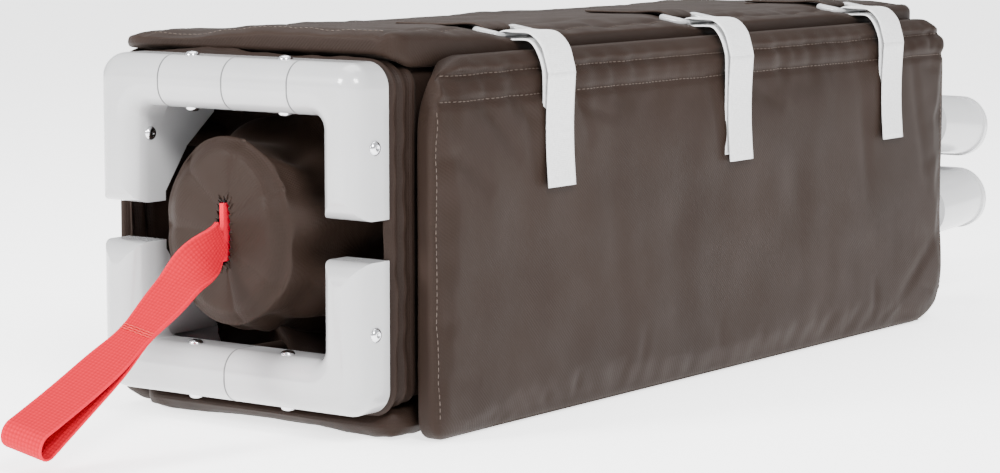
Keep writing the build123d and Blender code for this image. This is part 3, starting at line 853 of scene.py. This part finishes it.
def square_ring(turn, half, corner):
    """A point on a rounded square for a turn from 0 to 1, and the way out there."""
    straight = 2 * (half - corner)
    arc = corner * math.pi / 2
    side_length = straight + arc
    travelled = (turn % 1.0) * 4 * side_length
    side, along = divmod(travelled, side_length)
    angle = side * math.pi / 2
    if along < straight:
        local = (half, -half + corner + along)
        away = (1.0, 0.0)
    else:
        bend = (along - straight) / corner
        local = (half - corner + corner * math.cos(bend), half - corner + corner * math.sin(bend))
        away = (math.cos(bend), math.sin(bend))
    c, s = math.cos(angle), math.sin(angle)
    return (
        (local[0] * c - local[1] * s, local[0] * s + local[1] * c),
        (away[0] * c - away[1] * s, away[0] * s + away[1] * c),
    )


def ring_cloth(name, rows, columns, shape, material):
    """A sheet that closes on itself round the bundle; shape gives each point."""
    points = []
    for row in range(rows + 1):
        points.extend(shape(row / rows, turn / columns) for turn in range(columns))
    return mesh_piece(name, points, tube_faces(rows + 1, columns), material)


def side_wrap(row, turn):
    """The outer wrap: close to the bundle, with a loose hem and a rolled fold behind it
    at the bracket end, and a plain hem at the other."""
    (y, z), (away_y, away_z) = square_ring(turn, bundle_half - 0.0042, 0.012)
    length = fabric_high.x - fabric_low.x
    near_left = row**1.6 * length
    near_right = length - near_left
    around = turn * 40
    sway = noise.noise(Vector((around * 0.35, 1.0, 4.0)))
    crimp = noise.noise(Vector((around * 1.1, near_left * 60, 9.0)))
    hem = math.exp(-(((near_left - 0.0055 - 0.0015 * sway) / 0.0042) ** 2))
    fold = math.exp(-(((near_left - 0.0165 - 0.0025 * sway) / 0.0026) ** 2))
    loose = 0.5 * math.exp(-near_right / 0.012)
    out = hem * (0.0062 + 0.0035 * sway + 0.0015 * crimp) + fold * (0.0042 + 0.002 * crimp)
    out += loose * (0.004 + 0.004 * crimp) + 0.0005 * crimp
    tuck = math.exp(-(((near_left - 0.0245 + 0.002 * sway) / 0.0045) ** 2))
    out += tuck * 0.0052 * float(smooth_step(-square_ring(turn, bundle_half, 0.012)[1][0]))
    x = fabric_low.x + near_left - 0.0012 + 0.0015 * sway * math.exp(-near_left / 0.02)
    return (x, y + away_y * out, bundle_mid + z + away_z * out)


cot_sides = ring_cloth("cot_sides", 150, 420, side_wrap, cot_cloth)
cot_sides.modifiers.new("cloth", "SOLIDIFY").thickness = 0.0012
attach(cot_sides, "frame")
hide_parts("side_fabric")

cover_low, cover_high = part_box("hub_cover")
hub_half_y = (cover_high.y - cover_low.y) / 2
hub_half_z = (cover_high.z - cover_low.z) / 2


def inner_folds(x_at, sign, seed):
    """Loose folds that fall from the side wrap in towards the middle of the bundle."""

    def shape(row, turn):
        (y, z), _ = square_ring(turn, bundle_half - 0.007, 0.014)
        inner = 0.42
        scale = 1 - (1 - inner) * row
        around = turn * 2 * math.pi
        pleat = abs(math.sin(around * 5 + 1.3 * noise.noise(Vector((turn * 6, row * 2, seed)))))
        depth = 0.022 * math.sin(row * math.pi) * pleat + 0.01 * row
        drift = 0.008 * noise.noise(Vector((y * 22, z * 22, seed + row * 2)))
        return (x_at + sign * (depth + drift), y * scale, bundle_mid + z * scale)

    return shape


bracket_end_folds = ring_cloth("bracket_end_folds", 26, 300, inner_folds(-0.284, 1, 2.0), cot_cloth)
foot_end_folds = ring_cloth("foot_end_folds", 26, 300, inner_folds(0.318, -1, 6.0), cot_cloth)
for folds in (bracket_end_folds, foot_end_folds):
    folds.modifiers.new("cloth", "SOLIDIFY").thickness = 0.001
    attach(folds, "frame")

# ==== Hub cover =======================================================================
# A cup of brown cloth drawn over the hub. It is flat in front, with a slit for the
# pull strap, and gathers back in soft pleats over the floor tubes.
slit_half = 0.021
slit_gap = 0.0052
disc_y, disc_z = 0.0478, 0.0592  # half sizes of the flat front
disc_offset = 0.006
disc_edge = 0.0075
disc_rows = 0.42  # share of the cloth's rows that lie in the front
cover_reach = 0.086


def hub_drape(row, turn):
    angle = turn * 2 * math.pi
    c, s = math.cos(angle), math.sin(angle)
    if row < disc_rows:
        share = row / disc_rows
        slit_y, slit_z = slit_gap * abs(c) ** 0.5 * math.copysign(1, c), slit_half * s
        ragged = 0.0012 * math.sin(angle * 24) * (1 - share) ** 6
        y = slit_y + (disc_y * c - slit_y) * share + ragged
        z = slit_z + (disc_z * s - slit_z) * share + ragged
        x = cover_low.x + disc_edge * smooth_step((share - 0.6) / 0.4) ** 2
        x += 0.0034 * noise.noise(Vector((y * 30, z * 30, 1.0))) * share
        y += disc_offset * share * (0.5 + 0.5 * c)
        fanned = abs(math.sin(angle * 3.5 + 1.2 * noise.noise(Vector((turn * 4, 0, 5)))))
        x += 0.0028 * (1 - fanned) ** 2 * share
    else:
        share = (row - disc_rows) / (1 - disc_rows)
        pleat = math.sin(angle * 5 + 2 * math.sin(angle * 2)) + 0.6 * math.sin(angle * 11 + 1)
        deep = share**0.7 * (0.6 + 1.6 * abs(noise.noise(Vector((turn * 5, 0, 2)))))
        over_top = math.exp(-(((angle - 1.9) / 0.55) ** 2))
        hollow = 0.02 * over_top * math.sin(min(share * 1.25, 1) * math.pi)
        spread = 0.012 * math.exp(-(((angle - 3.1) / 0.8) ** 2)) * share
        grow_y = disc_y + (hub_half_y + 0.004 - disc_y) * share + 0.0062 * pleat * deep + spread
        grow_z = disc_z + (hub_half_z + 0.004 - disc_z) * share + 0.0062 * pleat * deep - hollow
        sag = -0.007 * share * (1 - s) * 0.5
        y, z = grow_y * c + disc_offset * (1 - share) * (0.5 + 0.5 * c), grow_z * s + sag
        x = cover_low.x + disc_edge + cover_reach * share**1.1
        loose = 0.0085 * math.sin(share * math.pi)
        y += loose * noise.noise(Vector((y * 26, z * 26, 3 + share * 3)))
        z += loose * noise.noise(Vector((y * 26, z * 26, 8 + share * 3)))
    return (x, y, bundle_mid + z)


hub_cloth = ring_cloth("hub_cover_cloth", 60, 220, hub_drape, pad_cloth)
hub_cloth.modifiers.new("cloth", "SOLIDIFY").thickness = 0.0008
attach(hub_cloth, "frame")
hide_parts("hub_cover")

# ==== Pull strap ======================================================================
# Coral red webbing in a coarse basket weave, doubled and sewn across with a bar of
# close stitches, then opened into a hand loop. Each weave block is raised in the mesh.
coral, tree, shader = surface("coral_webbing", (0.38, 0.001, 0.012), 0.7)
shader.inputs["Specular IOR Level"].default_value = 0.06
shader.inputs["Sheen Weight"].default_value = 0.01
shader.inputs["Sheen Tint"].default_value = (1.0, 0.45, 0.46, 1)
# Pointiness sets the webbing's colour: a painted highlight on the raised weave blocks and painted
# shade in the hollows between them.
weave_highlight_mask = node(tree, "ShaderNodeNewGeometry").outputs["Pointiness"]
shades(tree, shader, weave_highlight_mask, (0.27, 0.0003, 0.006), (0.5, 0.002, 0.02), 0.46, 0.54)
bump(tree, shader, grain(tree, 1500), 0.4, 0.0002)

pull_slope = math.radians(31.35)
web_half = 0.0145
pull_start = Vector((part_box("pull_strap")[1].x, 0, bundle_mid - 0.002))
pull_run = Vector((-math.cos(pull_slope), 0, -math.sin(pull_slope)))
pull_up = Vector((-math.sin(pull_slope), 0, math.cos(pull_slope)))
twist_run = 0.05
full_twist = math.radians(74)
bar_at = 0.0925
loop_end = 0.2032


def loop_line():
    """The webbing's middle line from the slit, round the loop and back: distance along
    the strap and distance to the side."""
    bend, apart = 0.0085, 0.00085
    line = [(along, apart) for along in np.linspace(-0.0008, bar_at, 24)]
    for n in range(1, 31):
        share = n / 30
        line.append((bar_at + (loop_end - bend - bar_at) * share, apart + 0.0078 * share**1.5))
    for n in range(1, 12):
        angle = math.pi / 2 - math.pi * n / 12
        line.append((loop_end - bend + bend * math.cos(angle), 0.0087 * math.sin(angle)))
    back = [(along, -side) for along, side in line[:54]][::-1]
    return line + back


def band_normals(line):
    """The way out of a band's face, all along its middle line."""
    tangent = np.gradient(line, axis=0)
    tangent /= np.linalg.norm(tangent, axis=1, keepdims=True)
    return np.column_stack([-tangent[:, 1], tangent[:, 0]])


def woven_band(name, line, half_width, thickness, pitch, relief, place, material):
    """Webbing along a line: both faces carry raised weave blocks in a checker."""
    line = np.array(line)
    steps = np.hypot(*np.diff(line, axis=0).T)
    travelled = np.concatenate([[0], np.cumsum(steps)])
    across_cells = 4 * round(2 * half_width / pitch)
    along_cells = int(travelled[-1] / pitch * 4)
    at = np.linspace(0, travelled[-1], along_cells + 1)
    middle = np.column_stack([np.interp(at, travelled, line[:, n]) for n in (0, 1)])
    normal = band_normals(middle)
    points = []
    for face in (1, -1):
        for row in range(along_cells + 1):
            for column in range(across_cells + 1):
                block = math.sin(row * math.pi / 4) * math.sin(column * math.pi / 4 + math.pi / 4)
                edge = min(column, across_cells - column)
                lift = relief * abs(block) ** 0.6 * (0.3 if edge == 0 else 1)
                half = thickness / 2 * (0.55 if edge == 0 else 1) + lift
                spot = middle[row] + face * normal[row] * half
                across = half_width * (2 * column / across_cells - 1)
                points.append(place(spot[0], spot[1], across))
    wide, count = across_cells + 1, (along_cells + 1) * (across_cells + 1)
    faces = []
    for row in range(along_cells):
        for column in range(across_cells):
            a = row * wide + column
            quad = (a, a + 1, a + 1 + wide, a + wide)
            faces.append(quad)
            faces.append(tuple(count + n for n in quad[::-1]))
        for column, flip in ((0, False), (across_cells, True)):
            a = row * wide + column
            quad = (a, a + wide, a + wide + count, a + count)
            faces.append(quad[::-1] if flip else quad)
    for row, flip in ((0, True), (along_cells, False)):
        for column in range(across_cells):
            a = row * wide + column
            quad = (a, a + 1, a + 1 + count, a + count)
            faces.append(quad[::-1] if flip else quad)
    return mesh_piece(name, points, faces, material)


def pull_place(along, side, across):
    """Puts a point of the pull strap in place. The webbing leaves the slit upright and
    pinched, turns nearly level by the sewn bar and hangs a little uneven."""
    turn = full_twist * float(smooth_step(along / twist_run))
    width_way = pull_up * math.cos(turn) + Vector((0, 1, 0)) * math.sin(turn)
    out_way = Vector((0, -1, 0)) * math.cos(turn) + pull_up * math.sin(turn)
    pinch = 1 - 0.3 * math.exp(-((max(0.0, along) / 0.016) ** 2)) - 0.22 * math.exp(
        -(((along - bar_at) / 0.022) ** 2)
    )
    cup = 0.0016 * (across / web_half) ** 2 * math.exp(-(((along - 0.02) / 0.025) ** 2))
    bow = -0.0042 * math.sin(max(0.0, along) / loop_end * math.pi)
    spot = pull_start + pull_run * along + width_way * across * pinch
    return spot + out_way * (side + cup) + pull_up * bow


pull_web = woven_band(
    "pull_webbing", loop_line(), web_half, 0.0013, 0.0024, 0.00028, pull_place, coral
)
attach(pull_web, "pull_loop")
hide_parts("pull_strap")

red_thread = finish(
    "red_thread", (0.5, 0.003, 0.004), 0.5,
    tones=((900, 3), (0.4, 0.002, 0.003), (0.6, 0.004, 0.006)),
)
bar_stitches = 11
bar_half = 0.86 * web_half
for face in (1, -1):
    for row in range(3):
        points, faces = [], []
        along = bar_at - 0.003 + row * 0.0018
        for n in range(bar_stitches):
            across = bar_half * (2 * n / (bar_stitches - 1) - 1)
            lean = 0.0012 * (-1 if n % 2 else 1)
            centre = pull_place(along, face * 0.00205, across)
            middle = pull_place(along, 0, across)
            way = (pull_place(along, 0, across + 0.001) - middle).normalized()
            way = (way + pull_run * lean * 250).normalized()
            out = (pull_place(along, 0.001, across) - middle).normalized()
            rings = [
                (centre + way * share * 0.0013, 0.00045 * fat)
                for share, fat in ((-1, 0.3), (-0.5, 1), (0.5, 1), (1, 0.3))
            ]
            add_stitch(points, faces, rings, out.cross(way), out)
        name = f"bar_stitch_{'a' if face > 0 else 'b'}{row + 1}"
        stitch = mesh_piece(name, points, faces, red_thread)
        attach(stitch, "pull_loop")
paint_nodes(coral, "pull_strap_root")

# ==== Hook-and-loop straps ============================================================
# White woven tape, 30 mm wide. Each strap is sewn to the near panel, runs up over its
# edge, round the ring and back, and its loose end lies down over the sewn part.
tape_white, tree, shader = surface("strap_tape", (0.62, 0.62, 0.62), 0.75)
shader.inputs["Sheen Weight"].default_value = 0.3
shader.inputs["Sheen Roughness"].default_value = 0.5
shades(tree, shader, grain(tree, 500, 5), (0.58, 0.58, 0.58), (0.68, 0.68, 0.68))
tape_weave = mixed(tree, thread_waves(tree, "X", 0.0012), thread_waves(tree, "Z", 0.0012))
bump(tree, shader, tape_weave, 0.4, 0.0003)
bump(tree, shader, grain(tree, 900, 4), 0.3, 0.0003)

base_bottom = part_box("strap_bases")[0].z
ring_boxes = {name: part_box("strap_ring_" + name) for name in strap_names}
tail_boxes = {name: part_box("strap_tail_" + name) for name in strap_names}
strap_half = 0.015
tape_thick = 0.0013
ring_near = ring_boxes["left"][0].y + 0.003
ring_level = (ring_boxes["left"][0].z + ring_boxes["left"][1].z) / 2
face_y = near.low[1] - 0.0007
bar_y, bar_z = -0.098, 0.2435  # the ring's near rod, as the pull of the strap has set it
tail_middle = (tail_boxes["left"][0].y + tail_boxes["left"][1].y) / 2


def plain_band(name, line, place, material, half_width, thickness):
    """Flat tape along a line, with softened edges."""
    normal = band_normals(np.array(line))
    shares = [column / 6 - 1 for column in range(13)]
    section = [(share, 1) for share in shares] + [(share, -1) for share in shares[::-1]]
    points = []
    for spot, out in zip(np.array(line), normal):
        for across, face in section:
            thin = 0.5 if abs(across) == 1 else 1.0
            y, z = spot + out * face * thin * thickness / 2
            points.append(place(y, z, across * half_width))
    faces = tube_faces(len(line), len(section))
    faces.append(list(range(len(section)))[::-1])
    faces.append(list(range(len(points) - len(section), len(points))))
    return mesh_piece(name, points, faces, material)


def smooth_line(corners, steps=9):
    """A smooth curve through the given points."""
    corners = [Vector(c) for c in corners]
    padded_ends = [2 * corners[0] - corners[1], *corners, 2 * corners[-1] - corners[-2]]
    line = []
    for a, b, c, d in zip(padded_ends, padded_ends[1:], padded_ends[2:], padded_ends[3:]):
        for n in range(steps):
            t = n / steps
            spot = 2 * b + (c - a) * t + (2 * a - 5 * b + 4 * c - d) * t * t
            line.append((spot + (3 * b - a - 3 * c + d) * t**3) / 2)
    return [tuple(spot) for spot in (*line, corners[-1])]


def strap_line(tail_top):
    """The tape's line in y and z: up from its sewn end, slantwise over the two pads'
    edges to the ring, round its near rod and back down over itself."""
    edge_z = near.high[2]
    lower = [
        (face_y, base_bottom), (face_y, edge_z - 0.05), (face_y, edge_z - 0.02),
        (face_y + 0.0012, edge_z - 0.009), (face_y + 0.006, edge_z + 0.0012),
        (face_y + 0.0125, edge_z + 0.0062), (bar_y - 0.006, bar_z - 0.0028),
        (bar_y, bar_z - 0.0024),
    ]
    upper = [
        (bar_y + 0.0024, bar_z), (bar_y, bar_z + 0.0024), (bar_y - 0.008, bar_z + 0.0022),
        (face_y + 0.0105, edge_z + 0.0105), (face_y + 0.0015, edge_z + 0.003),
        (face_y - 0.0026, edge_z - 0.008), (tail_middle, tail_top),
    ]
    return smooth_line(lower + upper)


for name in strap_names:
    tail_low, tail_high = tail_boxes[name]
    x_mid = (tail_low.x + tail_high.x) / 2

    def tape_place(y, z, across, x_mid=x_mid):
        return (x_mid + across, y, z)

    base = plain_band(
        "strap_" + name, strap_line(tail_high.z), tape_place, tape_white, strap_half, tape_thick
    )
    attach(base, "near_panel")
    if name == "left":
        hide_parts("strap_bases")

    drop = tail_high.z - tail_low.z
    tail_line = []
    for share in np.linspace(0, 1, 22):
        bow = 0.0016 * math.sin(share * math.pi) - 0.0004 * share**3
        tail_line.append((tail_middle + bow, tail_high.z + 0.0004 - drop * share))
    tail = plain_band(
        "strap_end_" + name, tail_line, tape_place, tape_white, strap_half, tape_thick
    )
    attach(tail, "tail_" + name)
    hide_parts("strap_tail_" + name)

# ==== Rings and their tabs ============================================================
# Rectangular rings moulded in white, round in the rod. Each hangs in a tab of brown
# ribbed webbing that is folded round the ring's far rod and sewn to the top panel.


ring_tilt = 0.16
ring_corner = 0.0045


def ring_path(low, high):
    """The rod's middle line: a rounded rectangle, tilted up away from the strap."""
    centre = (low + high) / 2
    inset_x = (high.x - low.x) / 2 - 0.0024 - ring_corner
    inset_y = (high.y - low.y) / 2 - 0.0028 - ring_corner
    path = []
    for sign_x, sign_y, start in ((1, 1, 0), (-1, 1, 90), (-1, -1, 180), (1, -1, 270)):
        for n in range(7):
            angle = math.radians(start + 15 * n)
            x = centre.x + sign_x * inset_x + ring_corner * math.cos(angle)
            beyond = centre.y + sign_y * inset_y + ring_corner * math.sin(angle) - ring_near
            level = centre.z + bar_z - ring_level + beyond * ring_tilt
            path.append(Vector((x, bar_y + beyond, level)))
    return path


for name in strap_names:
    low, high = ring_boxes[name]
    path = ring_path(low, high)
    middle_x = (low.x + high.x) / 2
    sides = 12
    points = []
    for n, spot in enumerate(path):
        way = (path[(n + 1) % len(path)] - path[n - 1]).normalized()
        side = Vector((0, 0, 1)).cross(way)
        # the rod swells along the ring's short arms, where the load is taken
        arm = smooth_step(1 - abs(abs(spot.x - middle_x) - 0.0206) / 0.006)
        wide, tall = 0.0013 + 0.0019 * arm, 0.0013 + 0.0015 * arm
        for turn in range(sides):
            angle = turn * 2 * math.pi / sides
            up = Vector((0, 0, tall * math.sin(angle)))
            points.append(spot + side * wide * math.cos(angle) + up)
    faces = [
        tuple(corner % len(points) for corner in face) for face in tube_faces(len(path) + 1, sides)
    ]
    ring = mesh_piece("ring_" + name, points, faces, bracket_white)
    ring.modifiers.new("round", "SUBSURF").levels = 1
    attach(ring, "ring_" + name)
    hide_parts("strap_ring_" + name)

tab_brown = brown_cloth(
    "tab_webbing", (0.014, 0.008, 0.0056), (0.022, 0.013, 0.0095), (0.05, 0.034, 0.026)
)
tree = tab_brown.node_tree
rib_pitch = 0.0021
bump(tree, tree.nodes["Principled BSDF"], thread_waves(tree, "X", rib_pitch), 0.8, 0.0008)
end_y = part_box("ring_tabs")[1].y
for name in strap_names:
    x_mid = (ring_boxes[name][0].x + ring_boxes[name][1].x) / 2

    def tab_place(y, z, across, x_mid=x_mid):
        rib = 0.00025 * math.cos(across / rib_pitch * 2 * math.pi)
        return (x_mid + across, y, z + rib)

    surface_z = top.high[2] - 0.0005
    far_y, far_z = bar_y + 0.0178, bar_z + 0.003
    fold = [
        (end_y, surface_z), (far_y + 0.03, surface_z), (far_y + 0.012, surface_z - 0.0008),
        (far_y + 0.003, far_z - 0.0028), (far_y - 0.0029, far_z), (far_y + 0.003, far_z + 0.0029),
        (far_y + 0.012, surface_z + 0.0034), (far_y + 0.03, surface_z + 0.0024),
        (end_y, surface_z + 0.0022),
    ]
    tab = plain_band("tab_" + name, smooth_line(fold, 7), tab_place, tab_brown, 0.0145, 0.0016)
    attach(tab, "top_panel")
    if name == "left":
        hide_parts("ring_tabs")
